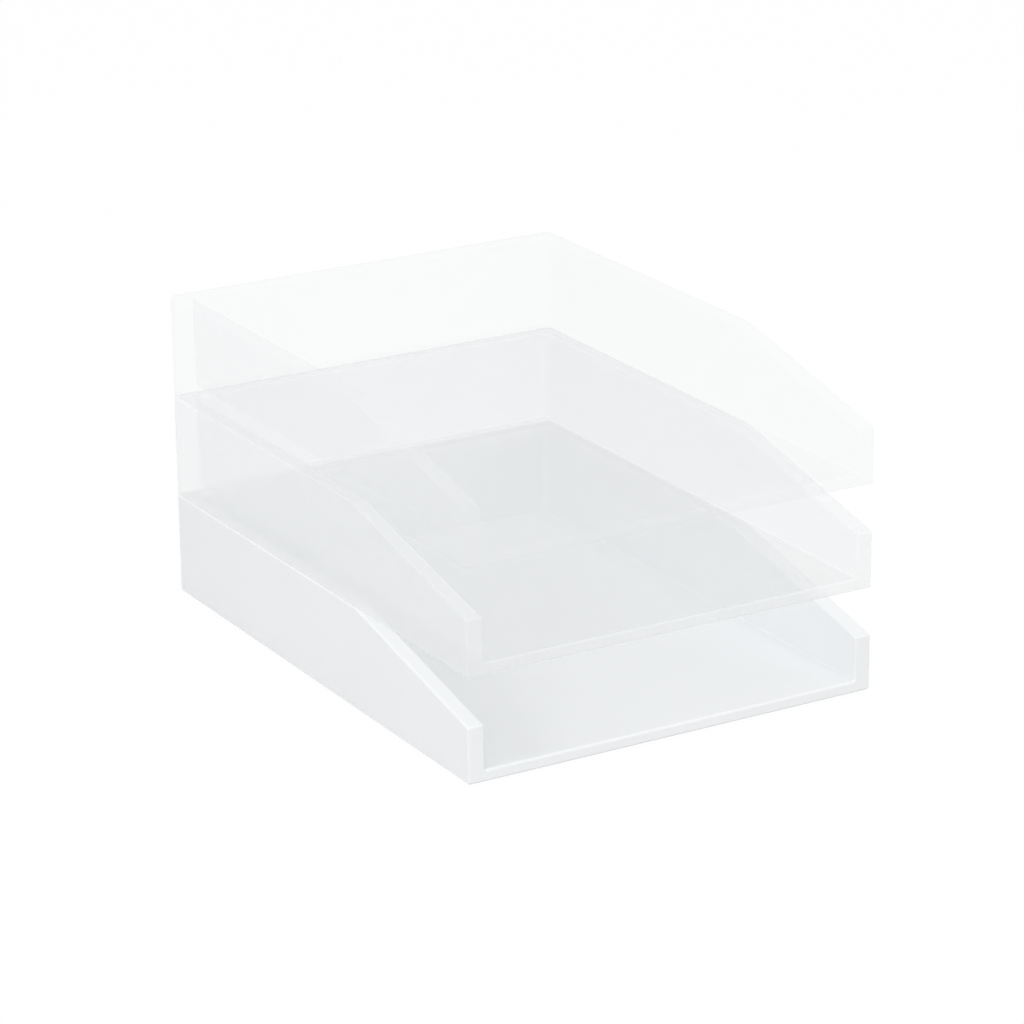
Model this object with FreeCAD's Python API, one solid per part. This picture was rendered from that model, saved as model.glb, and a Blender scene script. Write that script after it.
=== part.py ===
import FreeCAD
import Part
import math
import os

# Three letter trays with open fronts, stacked on one another.
#
# Units are millimetres. X runs across the trays and Y from the open front (-Y) to the back wall.
# Z is up. The origin lies on the desk, under the middle of the stack.
#
# Each tray is a double-skinned moulding, hollow and ribbed underneath, with a snap-in base cover
# and four rubber pads as feet. A tray rests with its underside on the rim of the tray below, and its feet
# drop just inside the walls of that tray, which keeps the stack in line.
# Every tray is modelled once, standing on z = 0 by its underside, and then lifted to its tier.

# ---- Stack ----
tray_names = ("bottom", "middle", "top")

# ---- Tray, outside ----
tray_width = 250.0
tray_depth = 335.0
tray_height = 59.0       # underside to rim
front_height = 32.0      # upright front ends of the side walls
slope_length = 120.0     # front face to the level part of the rim
bend_radius = 5.0        # where the slope turns into the level rim
corner_radius = 4.0      # upright outside corners at the back
edge_radius = 1.4        # every outer edge but those of the underside
underside_bevel = 1.2    # all round the underside

# ---- Tray, inside ----
wall_width = 9.5         # outer face to inner face, at the rim
floor_height = 6.8       # underside to the paper floor
draft_angle = 0.5        # degrees that the inner faces lean outwards
inner_corner_radius = 3.0
floor_fillet = 1.2       # where the walls meet the paper floor

# ---- Hollow underside ----
skin = 2.4               # thickness of the moulding
hollow_corner = 1.0      # cut off each upright corner of the hollow and of the cover
rib_thickness = 1.6
rib_pitch = 80.0         # aimed-at distance between ribs, both ways

# ---- Base cover ----
cover_thickness = 2.2
cover_gap = 0.2          # all round, inside the skirt
cover_chamfer = 0.4

# ---- Snap tabs of the base cover, and the grooves that hold their beads ----
tab_length = 18.0
tab_thickness = 1.6
tab_rise = 4.2           # above the cover's plate
bead_depth = 0.7
bead_height = 1.4
bead_below_tip = 1.2
groove_depth = 0.8
snap_gap = 0.2

# ---- Tongues at the front edge of the base cover, and their slots in the skirt ----
tongue_length = 14.0
tongue_reach = 1.1
tongue_thickness = 1.2
tongue_gap = 0.2

# ---- Feet ----
foot_width = 14.0
foot_corner = 3.0        # cut off each upright corner
foot_proud = 1.5         # below the tray's underside
foot_seat_depth = 1.0    # sunk in the base cover
foot_seat_gap = 0.2
foot_chamfer = 0.6
foot_wall_gap = 0.5      # to the inner faces of the tray below
front_foot_inset = 24.0  # front face to the centre of a front foot

# ---- Worked out from the sizes above ----
overrun = 2 * wall_width                 # how far a cutting solid runs past an open side
lean = math.tan(math.radians(draft_angle))
foot_half = foot_width / 2
tab_tip = cover_thickness + tab_rise
sharp_angle = math.radians(20)           # faces that turn by more than this meet in a sharp edge


def vector(x, y, z):
    return FreeCAD.Vector(x, y, z)


def box(low, high):
    """Box between two corners, each given as (x, y, z)."""
    size = [b - a for a, b in zip(low, high)]
    return Part.makeBox(size[0], size[1], size[2], vector(*low))


def face_normal_at(face, point):
    u, v = face.Surface.parameter(point)
    return face.normalAt(u, v)


def sharp_edges(solid):
    """Edges whose two faces meet at a clear angle, so seams and tangent joins are left out."""
    found = []
    for edge in solid.Edges:
        faces = solid.ancestorsOfType(edge, Part.Face)
        if len(faces) != 2:
            continue
        middle = edge.valueAt((edge.FirstParameter + edge.LastParameter) / 2)
        turn = face_normal_at(faces[0], middle).getAngle(face_normal_at(faces[1], middle))
        if turn > sharp_angle:
            found.append(edge)
    return found


def upright_edges(solid, y_from, y_to):
    """Edges of a solid that rise, upright or nearly, between two depths."""
    found = []
    for edge in solid.Edges:
        bounds = edge.BoundBox
        upright = bounds.ZLength > 2 * max(bounds.XLength, bounds.YLength)
        if upright and y_from < bounds.Center.y < y_to:
            found.append(edge)
    return found


def rib_places(span):
    """Evenly spaced places along a span centred on zero, about rib_pitch apart, without its ends."""
    bays = max(2, round(span / rib_pitch))
    return [span * (i / bays - 0.5) for i in range(1, bays)]


def bay_middles(span):
    """The middle of each bay between the ribs, where the snap tabs and the tongues sit."""
    marks = [-span / 2] + rib_places(span) + [span / 2]
    return [(a + b) / 2 for a, b in zip(marks, marks[1:])]


# ---------------------------------------------------------------------------------------------
# Tray shell
# ---------------------------------------------------------------------------------------------

def side_block(inset, low):
    """The tray's outline seen from the side, drawn in by inset, swept over the tray's width."""
    front = -tray_depth / 2
    back = tray_depth / 2
    bend = front + slope_length
    corners = [
        vector(0, front, low - inset),
        vector(0, back, low - inset),
        vector(0, back, tray_height),
        vector(0, bend, tray_height),
        vector(0, front, front_height),
    ]
    outline = Part.Face(Part.makePolygon(corners + corners[:1]))
    if inset > 0:
        outline = outline.makeOffset2D(-inset, 2)
    outline.translate(vector(-tray_width / 2 + inset, 0, 0))
    block = outline.extrude(vector(tray_width - 2 * inset, 0, 0))
    return round_bend(block, bend_radius - inset)


def round_bend(block, radius):
    """Rounds the edge across the tray where the slope meets the level rim."""
    bend = -tray_depth / 2 + slope_length
    edges = []
    for edge in block.Edges:
        bounds = edge.BoundBox
        across = bounds.YLength < edge_radius and bounds.ZLength < edge_radius
        if across and abs(bounds.Center.y - bend) < slope_length / 4 and bounds.Center.z > front_height:
            edges.append(edge)
    return block.makeFillet(radius, edges)


def room_reach(grow, z):
    """How far the room for paper, grown by grow, reaches to each side and to the back at height z."""
    behind = wall_width + (tray_height - z) * lean - grow
    return tray_width / 2 - behind, tray_depth / 2 - behind


def room(grow):
    """The room for paper as a solid that runs out over the rim and the front, grown by grow.

    Its sides lean outwards by the draft, and its upright corners are rounded.
    """
    low = floor_height - grow
    high = tray_height + overrun
    front = -tray_depth / 2 - overrun
    low_side, low_back = room_reach(grow, low)
    high_side, high_back = room_reach(grow, high)
    from_front = [
        vector(-low_side, front, low),
        vector(low_side, front, low),
        vector(high_side, front, high),
        vector(-high_side, front, high),
    ]
    from_side = [
        vector(-high_side, front, low),
        vector(-high_side, low_back, low),
        vector(-high_side, high_back, high),
        vector(-high_side, front, high),
    ]
    across = Part.Face(Part.makePolygon(from_front + from_front[:1])).extrude(vector(0, 2 * tray_depth, 0))
    along = Part.Face(Part.makePolygon(from_side + from_side[:1])).extrude(vector(2 * high_side, 0, 0))
    solid = across.common(along)
    return solid.makeFillet(inner_corner_radius + grow, upright_edges(solid, 0, tray_depth))


def foot_edges(room_solid):
    """Edges at the foot of the room for paper, where the walls meet the floor."""
    bounds = room_solid.BoundBox
    found = []
    for edge in room_solid.Edges:
        low = edge.BoundBox.ZMax < bounds.ZMin + floor_fillet / 2
        behind_the_front = edge.BoundBox.YMax > bounds.YMin + floor_fillet
        if low and behind_the_front:
            found.append(edge)
    return found


def stiffeners():
    """Slabs across and along the tray: webs where they cross the walls, ribs under the floor."""
    half_width = tray_width / 2
    half_depth = tray_depth / 2
    slabs = []
    for y in rib_places(tray_depth):
        low = (-half_width, y - rib_thickness / 2, cover_thickness)
        slabs.append(box(low, (half_width, y + rib_thickness / 2, tray_height)))
    for x in rib_places(tray_width):
        low = (x - rib_thickness / 2, -half_depth, cover_thickness)
        slabs.append(box(low, (x + rib_thickness / 2, half_depth, tray_height)))
    return slabs


def hollow():
    """The space under the skins: inside the walls, beneath the floor, and down to the desk."""
    space = side_block(skin, -cover_thickness)
    space = space.makeChamfer(hollow_corner, upright_edges(space, -tray_depth, tray_depth))
    lined = room(skin)
    lined = lined.makeChamfer(floor_fillet + skin / 2, foot_edges(lined))
    return space.cut(lined).cut(stiffeners())


def along_walls(piece_for_bay):
    """One piece for each bay of the two side walls and of the back wall.

    piece_for_bay(reach) gives a piece for a wall whose outer face lies at x = reach, centred on y = 0.
    It is turned and slid to each place.
    """
    placed = []
    for y in bay_middles(tray_depth):
        right = piece_for_bay(tray_width / 2)
        right.translate(vector(0, y, 0))
        left = right.mirror(vector(0, 0, 0), vector(1, 0, 0))
        placed += [right, left]
    for x in bay_middles(tray_width):
        back = piece_for_bay(tray_depth / 2)
        back.rotate(vector(0, 0, 0), vector(0, 0, 1), 90)
        back.translate(vector(x, 0, 0))
        placed.append(back)
    return placed


def snap_groove(reach):
    """Room for a tab's bead in the hidden face of the outer skin."""
    inner = reach - skin
    low = tab_tip - bead_below_tip - bead_height - snap_gap
    high = tab_tip - bead_below_tip + snap_gap
    half_length = tab_length / 2 + snap_gap
    return box((inner - skin, -half_length, low), (inner + groove_depth, half_length, high))


def tongue(gap):
    """Tongues along the cover's front edge, grown by gap to make the slots that take them."""
    edge = -tray_depth / 2 + skin
    top = cover_thickness
    pieces = []
    for x in bay_middles(tray_width):
        low = (x - tongue_length / 2 - gap, edge - tongue_reach - gap, top - tongue_thickness - gap)
        high = (x + tongue_length / 2 + gap, edge + skin, top + gap)
        pieces.append(box(low, high))
    return pieces


def tray_shell():
    """The moulding: block, room for paper, rounded edges, then the hollow from beneath."""
    block = side_block(0, 0)
    corners = upright_edges(block, 0, tray_depth)
    block = block.makeFillet(corner_radius, corners)
    inside = room(0)
    body = block.cut(inside.makeFillet(floor_fillet, foot_edges(inside)))
    body = body.makeFillet(edge_radius, [edge for edge in sharp_edges(body) if edge.BoundBox.ZMax > skin])
    body = body.makeChamfer(underside_bevel, [edge for edge in body.Edges if edge.BoundBox.ZMax < skin])
    body = body.cut(hollow())
    body = body.cut(along_walls(snap_groove))
    return body.cut(tongue(tongue_gap))


# ---------------------------------------------------------------------------------------------
# Base cover
# ---------------------------------------------------------------------------------------------

def snap_tab(reach):
    """A tab that stands in the hollow wall, with a bead that clicks into the outer skin."""
    outer = reach - skin - snap_gap
    inner = outer - tab_thickness
    bead_top = tab_tip - bead_below_tip
    bead_low = bead_top - bead_height
    profile = [
        vector(inner, 0, cover_thickness / 2),
        vector(outer, 0, cover_thickness / 2),
        vector(outer, 0, bead_low),
        vector(outer + bead_depth, 0, (bead_low + bead_top) / 2),
        vector(outer, 0, tab_tip - tab_thickness / 2),
        vector(outer - tab_thickness / 2, 0, tab_tip),
        vector(inner, 0, tab_tip),
    ]
    side = Part.Face(Part.makePolygon(profile + profile[:1]))
    side.translate(vector(0, -tab_length / 2, 0))
    return side.extrude(vector(0, tab_length, 0))


def foot_places():
    """Centres of the four feet, by name: each stands just inside the walls of the tray below."""
    side = tray_width / 2 - wall_width - foot_wall_gap - foot_half
    back = tray_depth / 2 - wall_width - foot_wall_gap - foot_half
    front = -tray_depth / 2 + front_foot_inset
    return {
        "front_left": (-side, front),
        "front_right": (side, front),
        "back_left": (-side, back),
        "back_right": (side, back),
    }


def pad(x, y, grow, low, high):
    """A square block with its upright corners cut off, centred on (x, y) and grown sideways by grow."""
    half = foot_half + grow
    block = box((x - half, y - half, low), (x + half, y + half, high))
    corner = foot_corner + grow * (2 - math.sqrt(2))
    upright = [edge for edge in block.Edges if edge.BoundBox.ZLength > (high - low) / 2]
    return block.makeChamfer(corner, upright)


def base_cover():
    """The plate that closes the underside, with its tabs, its tongues and the seats of the feet."""
    side = tray_width / 2 - skin - cover_gap
    end = tray_depth / 2 - skin - cover_gap
    plate = box((-side, -end, 0), (side, end, cover_thickness))
    plate = plate.makeChamfer(hollow_corner, upright_edges(plate, -tray_depth, tray_depth))
    rim = [edge for edge in plate.Edges if edge.BoundBox.ZMax < cover_thickness / 2]
    plate = plate.makeChamfer(cover_chamfer, rim)
    plate = plate.fuse(along_walls(snap_tab) + tongue(0)).removeSplitter()
    return plate.cut([pad(x, y, foot_seat_gap, 0, foot_seat_depth) for x, y in foot_places().values()])


# ---------------------------------------------------------------------------------------------
# Feet
# ---------------------------------------------------------------------------------------------

def foot(x, y):
    """A rubber pad with a bevelled lower edge, pressed up against the roof of its seat."""
    block = pad(x, y, 0, -foot_proud, foot_seat_depth)
    lower_edge = [edge for edge in block.Edges if edge.BoundBox.ZMax < foot_chamfer - foot_proud]
    return block.makeChamfer(foot_chamfer, lower_edge)


# ---------------------------------------------------------------------------------------------
# The stack
# ---------------------------------------------------------------------------------------------

def tray_pieces():
    """Every piece of one tray, by name."""
    pieces = {"shell": tray_shell(), "base_cover": base_cover()}
    for place, (x, y) in foot_places().items():
        pieces["foot_" + place] = foot(x, y)
    return pieces


def export_stack():
    """Writes each piece of each tray to its own file, lifted to its tier."""
    os.makedirs("parts", exist_ok=True)
    pieces = tray_pieces()
    for tier, tray in enumerate(tray_names):
        lift = vector(0, 0, foot_proud + tier * tray_height)
        for name, shape in pieces.items():
            placed = shape.copy()
            placed.translate(lift)
            placed.exportStep("parts/" + tray + "_tray_" + name + ".step")


export_stack()
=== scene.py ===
"""Looks of a stack of three letter trays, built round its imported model.

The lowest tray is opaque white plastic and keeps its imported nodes. The two trays above it are see-through,
the top one more than the middle one. Seen through clear plastic, the ribs inside a packed shell would cover
the tray in lines, so each see-through tray gets a clean moulding of the same outline instead.
Lengths are in metres and angles in radians, except a lamp's angles, which are in degrees.
"""

import logging
import math
from collections.abc import Iterable
from dataclasses import dataclass
from enum import Enum
from typing import Any

import bmesh
import bpy
from mathutils import Matrix, Vector


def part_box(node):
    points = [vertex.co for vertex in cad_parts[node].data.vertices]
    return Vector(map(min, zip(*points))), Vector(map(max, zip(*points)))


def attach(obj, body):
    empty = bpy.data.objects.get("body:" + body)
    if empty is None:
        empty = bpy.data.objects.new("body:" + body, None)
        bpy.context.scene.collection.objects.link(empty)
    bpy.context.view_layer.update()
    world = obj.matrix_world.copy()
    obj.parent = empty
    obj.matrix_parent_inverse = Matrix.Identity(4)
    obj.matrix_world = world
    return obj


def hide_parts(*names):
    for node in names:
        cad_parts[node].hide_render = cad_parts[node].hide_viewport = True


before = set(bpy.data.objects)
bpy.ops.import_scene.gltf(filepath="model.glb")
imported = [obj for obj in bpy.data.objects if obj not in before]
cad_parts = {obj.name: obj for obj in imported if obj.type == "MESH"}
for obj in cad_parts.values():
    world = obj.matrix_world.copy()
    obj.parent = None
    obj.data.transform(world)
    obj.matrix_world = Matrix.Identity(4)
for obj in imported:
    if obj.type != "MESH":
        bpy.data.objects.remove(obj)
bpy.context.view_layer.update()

MM = 0.001
UP = Vector((0, 0, 1))

# Layers of see-through plastic that a line of sight may pass.
MOST_LAYERS = 48
# Where a ramp from one colour to another starts and ends. Noise seldom leaves this range.
RAMP_START, RAMP_END = 0.3, 0.7
# Points nearer than this are level with each other.
TOUCH = MM / 10
# A face is level where its normal rises by more than this.
LEVEL = 0.9
# Faces that meet at a smaller angle than FLAT are one face, edges that turn by more than SHARP get rounded,
# and a wall turns up from the floor by more than STEEP.
FLAT, SHARP, STEEP = math.radians(0.2), math.radians(19), math.radians(60)

Colour = tuple[float, float, float]
log = logging.getLogger("trays")


# ---- Shader nodes -----------------------------------------------------------------------------------


class Signal:
    """A shader socket that takes part in arithmetic: each operator adds a Math node."""

    def __init__(self, nodes: "NodeMaker", socket: bpy.types.NodeSocket | None) -> None:
        """Wraps a socket.

        Args:
            nodes: The maker that adds the Math nodes.
            socket: The output socket that holds the value, or None for a node that has no output.
        """
        self.nodes = nodes
        self.socket = socket

    def _math(self, operation: str, first: "Signal | float", second: "Signal | float") -> "Signal":
        """Adds one Math node.

        Args:
            operation: The node's operation, such as ADD.
            first: The first operand.
            second: The second operand.

        Returns:
            The node's result.
        """
        return self.nodes.add("ShaderNodeMath", {"operation": operation}, {0: first, 1: second})

    def __add__(self, other: "Signal | float") -> "Signal":
        """Sum."""
        return self._math("ADD", self, other)

    def __radd__(self, other: float) -> "Signal":
        """Sum with a number on the left."""
        return self._math("ADD", other, self)

    def __mul__(self, other: "Signal | float") -> "Signal":
        """Product."""
        return self._math("MULTIPLY", self, other)

    def __rmul__(self, other: float) -> "Signal":
        """Product with a number on the left."""
        return self._math("MULTIPLY", other, self)

    def at_most(self, other: "Signal | float") -> "Signal":
        """The smaller of the two."""
        return self._math("MINIMUM", self, other)


class NodeMaker:
    """Adds nodes to one material's or world's node tree."""

    def __init__(self, tree: bpy.types.NodeTree) -> None:
        """Empties the tree.

        Args:
            tree: The node tree to fill.
        """
        tree.nodes.clear()
        self.tree = tree

    def add(self, kind: str, settings: dict[str, Any], values: dict[Any, Any],
            output: int | str = 0) -> Signal:
        """Adds one node.

        Args:
            kind: The node's type.
            settings: Properties to set before its sockets, such as a Math node's operation. The stops of
                a ramp are given as "stops", pairs of a position and a colour.
            values: Numbers, colours or signals for its input sockets, by name or number.
            output: Name or number of the socket to return.

        Returns:
            The chosen output, which is empty where the node has none.
        """
        node = self.tree.nodes.new(kind)
        for name, value in settings.items():
            if name == "stops":
                self._set_stops(node.color_ramp, value)
            else:
                setattr(node, name, value)
        for name, value in values.items():
            if isinstance(value, Signal):
                self.tree.links.new(value.socket, node.inputs[name])
            else:
                node.inputs[name].default_value = value
        return Signal(self, node.outputs[output] if node.outputs else None)

    @staticmethod
    def _set_stops(ramp: bpy.types.ColorRamp, stops: list[tuple[float, Colour]]) -> None:
        """Gives a colour ramp its stops.

        Args:
            ramp: The ramp, which starts with two stops.
            stops: Two or more pairs of a position and a colour.
        """
        while len(ramp.elements) < len(stops):
            ramp.elements.new(1.0)
        for element, (position, colour) in zip(ramp.elements, stops):
            element.position = position
            element.color = (*colour, 1.0)

    def place(self) -> Signal:
        """The point on the surface, in the object's own coordinates."""
        return self.add("ShaderNodeTexCoord", {}, {}, "Object")

    def noise(self, size: float, detail: float = 2.0) -> Signal:
        """Noise from 0 to 1.

        Args:
            size: Rough size of its blobs.
            detail: How many finer octaves it has.

        Returns:
            The noise's value.
        """
        values = {"Vector": self.place(), "Scale": 1 / size, "Detail": detail, "Roughness": 0.5}
        return self.add("ShaderNodeTexNoise", {"noise_dimensions": "3D"}, values, "Fac")

    def mix(self, share: Signal, low: Colour, high: Colour) -> Signal:
        """Mixes two colours.

        Args:
            share: 0 for the first colour, 1 for the second.
            low: The first colour.
            high: The second colour.

        Returns:
            The mixed colour.
        """
        stops = [(RAMP_START, low), (RAMP_END, high)]
        return self.add("ShaderNodeValToRGB", {"stops": stops}, {"Fac": share}, "Color")

    def bump(self, height: Signal) -> Signal:
        """The surface's normal, tilted by a relief.

        Args:
            height: The relief's height in metres.

        Returns:
            The tilted normal.
        """
        return self.add("ShaderNodeBump", {}, {"Height": height, "Strength": 1.0, "Distance": 1.0}, "Normal")

    def end_with(self, surface: dict[str, Any]) -> None:
        """Ends a material with its shader.

        Args:
            surface: Values or signals for the shader's sockets, by name.
        """
        shader = self.add("ShaderNodeBsdfPrincipled", {}, surface)
        self.add("ShaderNodeOutputMaterial", {}, {"Surface": shader})


def new_material(name: str, slot: str) -> tuple[bpy.types.Material, NodeMaker]:
    """Makes an empty material for one of the record's material slots.

    Args:
        name: The material's name.
        slot: The slot's name.

    Returns:
        The material and the maker of its nodes.
    """
    material = bpy.data.materials.new(name)
    material["slot"] = slot
    material.use_nodes = True
    return material, NodeMaker(material.node_tree)


# ---- Finishes ---------------------------------------------------------------------------------------


@dataclass(frozen=True)
class MouldedPlastic:
    """Glossy moulded plastic: almost even in colour, with a faint unevenness in its gloss and its skin."""

    tint: Colour = (0.882, 0.896, 0.904)
    shade: Colour = (0.868, 0.882, 0.894)
    patch: float = 90 * MM
    sheen_low: float = 0.17
    sheen_high: float = 0.25
    sheen_patch: float = 30 * MM
    ripple: float = 14 * MM
    ripple_height: float = 0.02 * MM
    grain: float = 0.5 * MM
    grain_height: float = 0.0004 * MM
    opacity: float = 1.0
    gloss_index: float = 1.46

    def material(self, slot: str, part: str = "") -> bpy.types.Material:
        """Makes the material.

        Args:
            slot: The record's material slot that it belongs to.
            part: The part of a piece that it covers, where it doesn't cover all of it.

        Returns:
            The new material.
        """
        material, nodes = new_material(slot + part + "_finish", slot)
        colour = nodes.mix(nodes.noise(self.patch), self.shade, self.tint)
        roughness = self.sheen_low + (self.sheen_high - self.sheen_low) * nodes.noise(self.sheen_patch)
        ripples = self.ripple_height * nodes.noise(self.ripple, detail=1.0)
        grains = self.grain_height * nodes.noise(self.grain, detail=0.0)
        nodes.end_with({
            "Base Color": colour,
            "Roughness": roughness,
            "Normal": nodes.bump(ripples + grains),
            "IOR": self.gloss_index,
            "Alpha": self.opacity,
        })
        return material


@dataclass(frozen=True)
class SoftRubber:
    """Matt rubber with a fine stipple."""

    tint: Colour = (0.74, 0.74, 0.73)
    shade: Colour = (0.70, 0.70, 0.69)
    roughness: float = 0.62
    stipple: float = 0.4 * MM
    stipple_height: float = 0.02 * MM
    opacity: float = 1.0

    def material(self, slot: str) -> bpy.types.Material:
        """Makes the material.

        Args:
            slot: The record's material slot that it belongs to.

        Returns:
            The new material.
        """
        material, nodes = new_material(slot + "_finish", slot)
        stipple = nodes.noise(self.stipple)
        nodes.end_with({
            "Base Color": nodes.mix(stipple, self.shade, self.tint),
            "Roughness": self.roughness,
            "Normal": nodes.bump(self.stipple_height * stipple),
            "Alpha": self.opacity,
        })
        return material


@dataclass(frozen=True)
class SeeThroughLook:
    """How a see-through tray looks. Its level faces at the floor are a little greyer than its walls:
    painted shade, standing in for the shade of its walls, which cast none.
    """

    slot: str
    opacity: float
    # The floor's two tones are darker than the walls' tones: painted shade from the walls.
    painted_shade_floor_tint: Colour = (0.784, 0.797, 0.804)
    painted_shade_floor_dark: Colour = (0.772, 0.784, 0.795)

    def walls(self) -> bpy.types.Material:
        """Makes the material of the walls."""
        return MouldedPlastic(opacity=self.opacity).material(self.slot)

    def floor(self) -> bpy.types.Material:
        """Makes the material of the level faces at the floor, greyer than the walls as painted shade."""
        plastic = MouldedPlastic(tint=self.painted_shade_floor_tint, shade=self.painted_shade_floor_dark, opacity=self.opacity)
        return plastic.material(self.slot, "_floor")


# ---- Trays ------------------------------------------------------------------------------------------


class Tier(Enum):
    """Where a tray stands in the stack."""

    BOTTOM = "bottom"
    MIDDLE = "middle"
    TOP = "top"


FOOT_PLACES = ("front_left", "front_right", "back_left", "back_right")


def bevel(mesh: bmesh.types.BMesh, edges: list[bmesh.types.BMEdge], size: float, segments: int = 1) -> None:
    """Rounds edges, or cuts them off flat with one segment.

    Args:
        mesh: The mesh that holds the edges.
        edges: The edges.
        size: How far the rounding reaches on each side of an edge.
        segments: How many faces the rounding has.
    """
    bmesh.ops.bevel(mesh, geom=edges, offset=size, offset_type="OFFSET", segments=segments, profile=0.5,
                    affect="EDGES", material=-1, clamp_overlap=False)


def is_upright(edge: bmesh.types.BMEdge) -> bool:
    """Whether an edge rises more than twice as far as it runs."""
    along = edge.verts[1].co - edge.verts[0].co
    return abs(along.z) > 2 * math.hypot(along.x, along.y)


@dataclass
class SeeThroughTray:
    """A tray of clear plastic: its moulding and its four feet."""

    tier: Tier
    plastic: bpy.types.Material
    # Material of the level faces at the floor, greyer as painted shade.
    painted_shade_floor_plastic: bpy.types.Material
    rubber: bpy.types.Material
    front_height: float = 32 * MM
    slope_length: float = 120 * MM
    bend_radius: float = 5 * MM
    corner_radius: float = 4 * MM
    edge_radius: float = 1.4 * MM
    underside_bevel: float = 0.4 * MM
    wall_width: float = 9.5 * MM
    floor_height: float = 6.8 * MM
    draft: float = math.radians(0.5)
    inner_corner_radius: float = 3 * MM
    floor_fillet: float = 1.2 * MM
    skirt: float = 2.4 * MM
    rest_gap: float = 0.06 * MM
    foot_corner: float = 3 * MM
    foot_bevel: float = 0.6 * MM

    def node(self, piece: str) -> str:
        """Name of one of this tray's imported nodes."""
        return f"{self.tier.value}_tray_{piece}"

    def build(self) -> list[bpy.types.Object]:
        """Builds every piece and puts it in its place.

        Returns:
            The pieces.
        """
        plastics = [self.plastic, self.painted_shade_floor_plastic]
        pieces = [self.finish(self.moulding(), "moulding", plastics, ["shell", "base_cover"])]
        for place in FOOT_PLACES:
            foot = self.foot(place)
            pieces.append(self.finish(foot, "clear_foot_" + place, [self.rubber], ["foot_" + place]))
        return pieces

    def moulding(self) -> bmesh.types.BMesh:
        """The walls and the floor as one closed solid.

        Returns:
            The mesh, in its place in the stack.
        """
        low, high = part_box(self.node("shell"))
        size = high - low - UP * self.rest_gap
        mesh = self.floor_plate(size)
        self.raise_walls(mesh, size)
        self.slope_the_rim(mesh, size)
        bmesh.ops.dissolve_limit(mesh, angle_limit=FLAT, verts=mesh.verts, edges=mesh.edges)
        self.round_edges(mesh, size)
        bmesh.ops.recalc_face_normals(mesh, faces=mesh.faces)
        # Level faces at the floor take the second material, which carries painted shade from the walls.
        for face in mesh.faces:
            if abs(face.normal.z) > LEVEL and face.calc_center_median().z < self.floor_height + TOUCH:
                face.material_index = 1
        centre = (low + high) / 2
        place = Vector((centre.x, centre.y, low.z + self.rest_gap))
        bmesh.ops.translate(mesh, vec=place, verts=mesh.verts)
        return mesh

    def floor_plate(self, size: Vector) -> bmesh.types.BMesh:
        """The lowest part of the moulding, up to the paper floor and as wide as the tray.

        Args:
            size: The tray's outer size.

        Returns:
            A new mesh, with its underside at z = 0.
        """
        mesh = bmesh.new()
        bmesh.ops.create_cube(mesh, size=1.0)
        bmesh.ops.scale(mesh, vec=(size.x, size.y, self.floor_height), verts=mesh.verts)
        bmesh.ops.translate(mesh, vec=(0, 0, self.floor_height / 2), verts=mesh.verts)
        corners = [edge for edge in mesh.edges if is_upright(edge) and edge.verts[0].co.y > 0]
        bevel(mesh, corners, self.corner_radius, segments=6)
        lowest = [edge for edge in mesh.edges if max(vert.co.z for vert in edge.verts) < TOUCH]
        bevel(mesh, lowest, self.underside_bevel)
        return mesh

    def raise_walls(self, mesh: bmesh.types.BMesh, size: Vector) -> None:
        """Raises the side walls and the back wall from the edge of the floor plate.

        Args:
            mesh: The floor plate.
            size: The tray's outer size.
        """
        foot = self.wall_width + (size.z - self.floor_height) * math.tan(self.draft)
        cuts = [((size.x / 2 - foot, 0, 0), (1, 0, 0)), ((foot - size.x / 2, 0, 0), (1, 0, 0)),
                ((0, size.y / 2 - foot, 0), (0, 1, 0))]
        for point, normal in cuts:
            top = [face for face in mesh.faces if face.calc_center_median().z > self.floor_height - TOUCH]
            geometry = {item for face in top for item in (face, *face.edges, *face.verts)}
            bmesh.ops.bisect_plane(mesh, geom=list(geometry), plane_co=point, plane_no=normal)
        walls = []
        for face in mesh.faces:
            centre = face.calc_center_median()
            beside = abs(centre.x) > size.x / 2 - foot or centre.y > size.y / 2 - foot
            if centre.z > self.floor_height - TOUCH and beside:
                walls.append(face)
        walls = bmesh.ops.dissolve_faces(mesh, faces=walls)["region"]
        raised = bmesh.ops.extrude_face_region(mesh, geom=walls)["geom"]
        rim = [item for item in raised if isinstance(item, bmesh.types.BMVert)]
        bmesh.ops.delete(mesh, geom=[face for face in walls if face.is_valid], context="FACES_ONLY")
        bmesh.ops.translate(mesh, vec=UP * (size.z - self.floor_height), verts=rim)
        lean = foot - self.wall_width
        for vert in rim:
            if abs(vert.co.x) < size.x / 2 - self.wall_width and vert.co.y < size.y / 2 - self.wall_width:
                vert.co.x += math.copysign(lean, vert.co.x)
                if vert.co.y > 0:
                    vert.co.y += lean

    def slope_the_rim(self, mesh: bmesh.types.BMesh, size: Vector) -> None:
        """Cuts the walls off along the slope that runs down to the front.

        Args:
            mesh: The tray with level walls.
            size: The tray's outer size.
        """
        angle = self.slope_angle(size)
        start = Vector((0, self.slope_length - size.y / 2, size.z))
        across = (0, -math.sin(angle), math.cos(angle))
        geometry = mesh.verts[:] + mesh.edges[:] + mesh.faces[:]
        bmesh.ops.bisect_plane(mesh, geom=geometry, plane_co=start, plane_no=across, clear_outer=True)
        bmesh.ops.holes_fill(mesh, edges=[edge for edge in mesh.edges if edge.is_boundary])

    def slope_angle(self, size: Vector) -> float:
        """Angle of the slope from level."""
        return math.atan2(size.z - self.front_height, self.slope_length)

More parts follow.
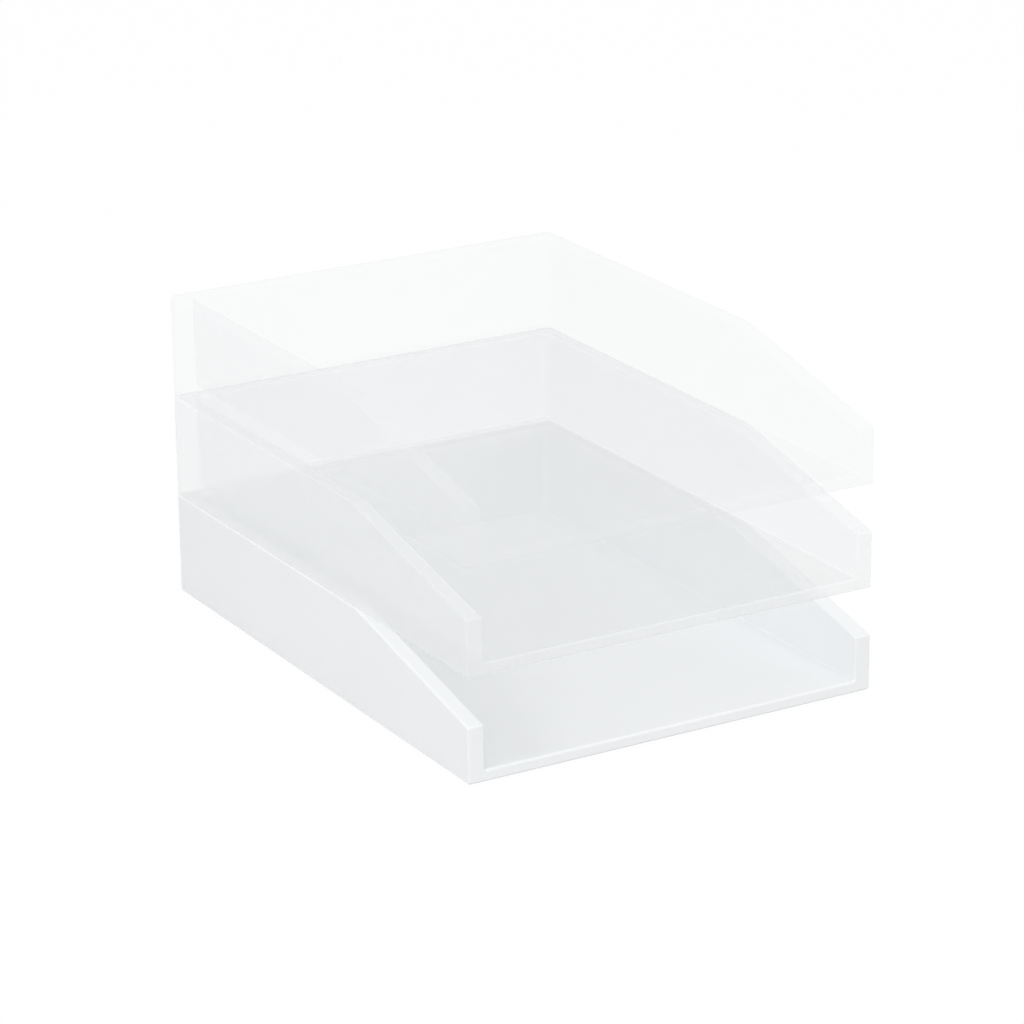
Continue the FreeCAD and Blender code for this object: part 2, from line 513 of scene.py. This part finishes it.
    def round_edges(self, mesh: bmesh.types.BMesh, size: Vector) -> None:
        """Rounds every edge as the mould does, the largest radii first.

        Args:
            mesh: The tray with sharp edges.
            size: The tray's outer size.
        """
        back_corners = [edge for edge in mesh.edges if is_upright(edge) and self.is_inside_back(edge, size)]
        bevel(mesh, back_corners, self.inner_corner_radius, segments=5)
        bends = [edge for edge in mesh.edges if self.is_at_bend(edge, size)]
        bevel(mesh, bends, self.bend_radius * math.tan(self.slope_angle(size) / 2), segments=3)
        wall_feet = [edge for edge in mesh.edges if self.is_at_floor(edge) and self.turns_up(edge)]
        bevel(mesh, wall_feet, self.floor_fillet, segments=3)
        sharp = [edge for edge in mesh.edges if edge.is_convex and edge.calc_face_angle(0) > SHARP
                 and max(vert.co.z for vert in edge.verts) > self.skirt]
        bevel(mesh, sharp, self.edge_radius, segments=4)

    def is_inside_back(self, edge: bmesh.types.BMEdge, size: Vector) -> bool:
        """Whether an edge lies in the back half, on the inner side of the walls."""
        return all(abs(vert.co.x) < (size.x - self.wall_width) / 2
                   and 0 < vert.co.y < (size.y - self.wall_width) / 2 for vert in edge.verts)

    def is_at_bend(self, edge: bmesh.types.BMEdge, size: Vector) -> bool:
        """Whether an edge crosses the rim where the slope starts."""
        bend = self.slope_length - size.y / 2
        return all(abs(vert.co.y - bend) < TOUCH and vert.co.z > size.z - TOUCH for vert in edge.verts)

    @staticmethod
    def turns_up(edge: bmesh.types.BMEdge) -> bool:
        """Whether the floor turns up steeply at an edge."""
        return not edge.is_convex and len(edge.link_faces) == 2 and edge.calc_face_angle() > STEEP

    def is_at_floor(self, edge: bmesh.types.BMEdge) -> bool:
        """Whether an edge lies level with the paper floor."""
        return all(abs(vert.co.z - self.floor_height) < TOUCH for vert in edge.verts)

    def foot(self, place: str) -> bmesh.types.BMesh:
        """A square pad with cut corners and a bevelled lower edge, below the moulding.

        Args:
            place: Which of the four feet it is.

        Returns:
            The mesh, in its place in the stack.
        """
        low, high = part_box(self.node("foot_" + place))
        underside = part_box(self.node("shell"))[0].z
        height = underside - low.z
        mesh = bmesh.new()
        bmesh.ops.create_cube(mesh, size=1.0)
        bmesh.ops.scale(mesh, vec=(high.x - low.x, high.y - low.y, height), verts=mesh.verts)
        bevel(mesh, [edge for edge in mesh.edges if is_upright(edge)], self.foot_corner)
        lowest = [edge for edge in mesh.edges if all(vert.co.z < 0 for vert in edge.verts)]
        bevel(mesh, lowest, self.foot_bevel, segments=3)
        centre = (low + high) / 2
        bmesh.ops.translate(mesh, vec=(centre.x, centre.y, low.z + height / 2), verts=mesh.verts)
        return mesh

    def finish(self, mesh: bmesh.types.BMesh, piece: str, materials: list[bpy.types.Material],
               nodes: list[str]) -> bpy.types.Object:
        """Turns a mesh into a piece of the tray.

        Args:
            mesh: The finished mesh, which is freed.
            piece: The piece's name within the tray.
            materials: Its materials, by the faces' material index.
            nodes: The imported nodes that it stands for, without the tray's name.

        Returns:
            The piece.
        """
        for face in mesh.faces:
            face.smooth = True
        data = bpy.data.meshes.new(self.node(piece))
        mesh.to_mesh(data)
        mesh.free()
        for material in materials:
            data.materials.append(material)
        thing = bpy.data.objects.new(self.node(piece), data)
        bpy.context.scene.collection.objects.link(thing)
        weighted = thing.modifiers.new("flat_faces_stay_flat", "WEIGHTED_NORMAL")
        weighted.keep_sharp = True
        thing.visible_shadow = False
        thing.visible_diffuse = False
        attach(thing, f"{self.tier.value}_tray")
        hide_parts(*[self.node(name) for name in nodes])
        log.info("%s: %d faces", thing.name, len(data.polygons))
        return thing


@dataclass
class WhiteTray:
    """The opaque tray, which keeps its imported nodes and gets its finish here."""

    tier: Tier
    plastic: bpy.types.Material
    rubber: bpy.types.Material

    def dress(self) -> None:
        """Gives each node its material."""
        for name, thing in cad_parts.items():
            if not name.startswith(self.tier.value):
                continue
            material = self.rubber if "foot" in name else self.plastic
            thing.data.materials.clear()
            thing.data.materials.append(material)
            log.info("%s: %s", name, material.name)


# ---- Studio -----------------------------------------------------------------------------------------


def direction(azimuth: float, elevation: float) -> Vector:
    """The way from the stack to a camera or a lamp.

    Args:
        azimuth: 0 in front of the trays, growing towards their right.
        elevation: Angle above the floor.

    Returns:
        A vector of length 1.
    """
    flat = math.cos(elevation)
    return Vector((math.sin(azimuth) * flat, -math.cos(azimuth) * flat, math.sin(elevation)))


@dataclass(frozen=True)
class Viewpoint:
    """Where the camera stands. Azimuth 0 looks along +Y from the open front."""

    azimuth: float = math.radians(-30.24)
    elevation: float = math.radians(19.65)
    roll: float = math.radians(-0.57)
    distance: float = 2306.6 * MM
    aim: tuple[float, float, float] = (-2.1 * MM, -3.7 * MM, 77.7 * MM)
    lens: float = 146.94
    sensor: float = 36.0

    def camera(self) -> None:
        """Makes the camera and looks through it."""
        back = direction(self.azimuth, self.elevation)
        right = UP.cross(back).normalized()
        turn = Matrix((right, back.cross(right), back)).transposed() @ Matrix.Rotation(self.roll, 3, "Z")
        data = bpy.data.cameras.new("camera")
        data.lens = self.lens
        data.sensor_width = self.sensor
        data.clip_end = 100
        camera = bpy.data.objects.new("camera", data)
        camera.matrix_world = Matrix.Translation(Vector(self.aim) + back * self.distance) @ turn.to_4x4()
        bpy.context.scene.collection.objects.link(camera)
        bpy.context.scene.camera = camera


@dataclass(frozen=True)
class SoftBox:
    """A large soft lamp that looks at the foot of the stack. Its azimuth and elevation are in degrees."""

    name: str
    azimuth: float
    elevation: float
    width: float
    height: float
    power: float
    distance: float = 2.6

    def light(self) -> None:
        """Makes the lamp."""
        away = direction(math.radians(self.azimuth), math.radians(self.elevation))
        data = bpy.data.lights.new(self.name, "AREA")
        data.shape = "RECTANGLE"
        data.size = self.width
        data.size_y = self.height
        data.energy = self.power
        lamp = bpy.data.objects.new(self.name, data)
        lamp.location = away * self.distance
        lamp.rotation_euler = away.to_track_quat("Z", "Y").to_euler()
        bpy.context.scene.collection.objects.link(lamp)


LAMPS = (
    SoftBox("left_softbox", azimuth=-80, elevation=26, width=1.2, height=0.9, power=12.7),
    SoftBox("corner_softbox", azimuth=-38, elevation=24, width=1.0, height=0.7, power=5.7),
    SoftBox("high_softbox", azimuth=-35, elevation=55, width=1.4, height=1.0, power=7.6),
    SoftBox("front_softbox", azimuth=10, elevation=15, width=1.8, height=0.7, power=8.1),
    SoftBox("right_softbox", azimuth=60, elevation=14, width=1.2, height=0.7, power=7.2),
    SoftBox("rear_softbox", azimuth=-140, elevation=25, width=1.6, height=0.8, power=3.0),
    SoftBox("sheen_softbox", azimuth=141, elevation=41, width=1.4, height=0.9, power=1.2),
    SoftBox("overhead_softbox", azimuth=0, elevation=85, width=1.8, height=1.8, power=10.8),
)


@dataclass(frozen=True)
class Studio:
    """A white floor and a white room round it, softly lit."""

    floor_size: float = 30.0
    floor_colour: Colour = (0.75, 0.75, 0.75)
    seen_white: float = 0.98
    room_colour: Colour = (0.99, 0.995, 1.0)
    room_strength: float = 0.535

    def build(self) -> None:
        """Makes the floor, the room and the lamps."""
        self.floor()
        self.room()
        for lamp in LAMPS:
            lamp.light()

    def floor(self) -> None:
        """Makes the floor: white to the eye with a faint shadow, pale to the light that it throws back."""
        mesh = bmesh.new()
        bmesh.ops.create_grid(mesh, x_segments=1, y_segments=1, size=self.floor_size / 2)
        data = bpy.data.meshes.new("studio_floor")
        mesh.to_mesh(data)
        mesh.free()
        material = bpy.data.materials.new("studio_floor")
        material.use_nodes = True
        nodes = NodeMaker(material.node_tree)
        seen = self.seen(nodes)
        white = (1.0, 1.0, 1.0, 1.0)
        glow = nodes.add("ShaderNodeEmission", {}, {"Color": white, "Strength": 1.0})
        clean = nodes.add("ShaderNodeBsdfDiffuse", {}, {"Color": white})
        pale = nodes.add("ShaderNodeBsdfDiffuse", {}, {"Color": (*self.floor_colour, 1.0)})
        bright = nodes.add("ShaderNodeMixShader", {}, {0: self.seen_white, 1: clean, 2: glow})
        shader = nodes.add("ShaderNodeMixShader", {}, {0: seen, 1: pale, 2: bright})
        nodes.add("ShaderNodeOutputMaterial", {}, {"Surface": shader})
        data.materials.append(material)
        floor = bpy.data.objects.new("studio_floor", data)
        bpy.context.scene.collection.objects.link(floor)

    @staticmethod
    def seen(nodes: NodeMaker) -> Signal:
        """1 for what the camera, a reflection or a clear material sees, 0 for what throws light."""
        rays = [nodes.add("ShaderNodeLightPath", {}, {}, name)
                for name in ("Is Camera Ray", "Is Glossy Ray", "Is Transmission Ray")]
        return (rays[0] + rays[1] + rays[2]).at_most(1.0)

    def room(self) -> None:
        """Makes the world: white to the eye, and an even soft light."""
        world = bpy.data.worlds.new("studio_room")
        world.use_nodes = True
        nodes = NodeMaker(world.node_tree)
        light = {"Color": (*self.room_colour, 1.0), "Strength": self.room_strength}
        lit = nodes.add("ShaderNodeBackground", {}, light)
        white = nodes.add("ShaderNodeBackground", {}, {"Color": (1.0, 1.0, 1.0, 1.0), "Strength": 1.0})
        shader = nodes.add("ShaderNodeMixShader", {}, {0: self.seen(nodes), 1: lit, 2: white})
        nodes.add("ShaderNodeOutputWorld", {}, {"Surface": shader})
        bpy.context.scene.world = world


def main() -> None:
    """Builds the trays and the studio, in order."""
    logging.basicConfig(level=logging.INFO, format="%(name)s %(message)s")
    bpy.context.scene.view_settings.view_transform = "Standard"
    bpy.context.scene.cycles.transparent_max_bounces = MOST_LAYERS
    white = MouldedPlastic().material("white_gloss")
    rubber = SoftRubber().material("white_rubber")
    clear_rubber = SoftRubber(opacity=0.01).material("clear_rubber")
    WhiteTray(Tier.BOTTOM, white, rubber).dress()
    looks = {
        Tier.MIDDLE: SeeThroughLook("milky_see_through", opacity=0.34),
        Tier.TOP: SeeThroughLook("faint_see_through", opacity=0.158),
    }
    for tier, look in looks.items():
        for piece in SeeThroughTray(tier, look.walls(), look.floor(), clear_rubber).build():
            log.info("%s tray: %s", tier.value, piece.name)
    Studio().build()
    Viewpoint().camera()


if __name__ == "__main__":
    main()
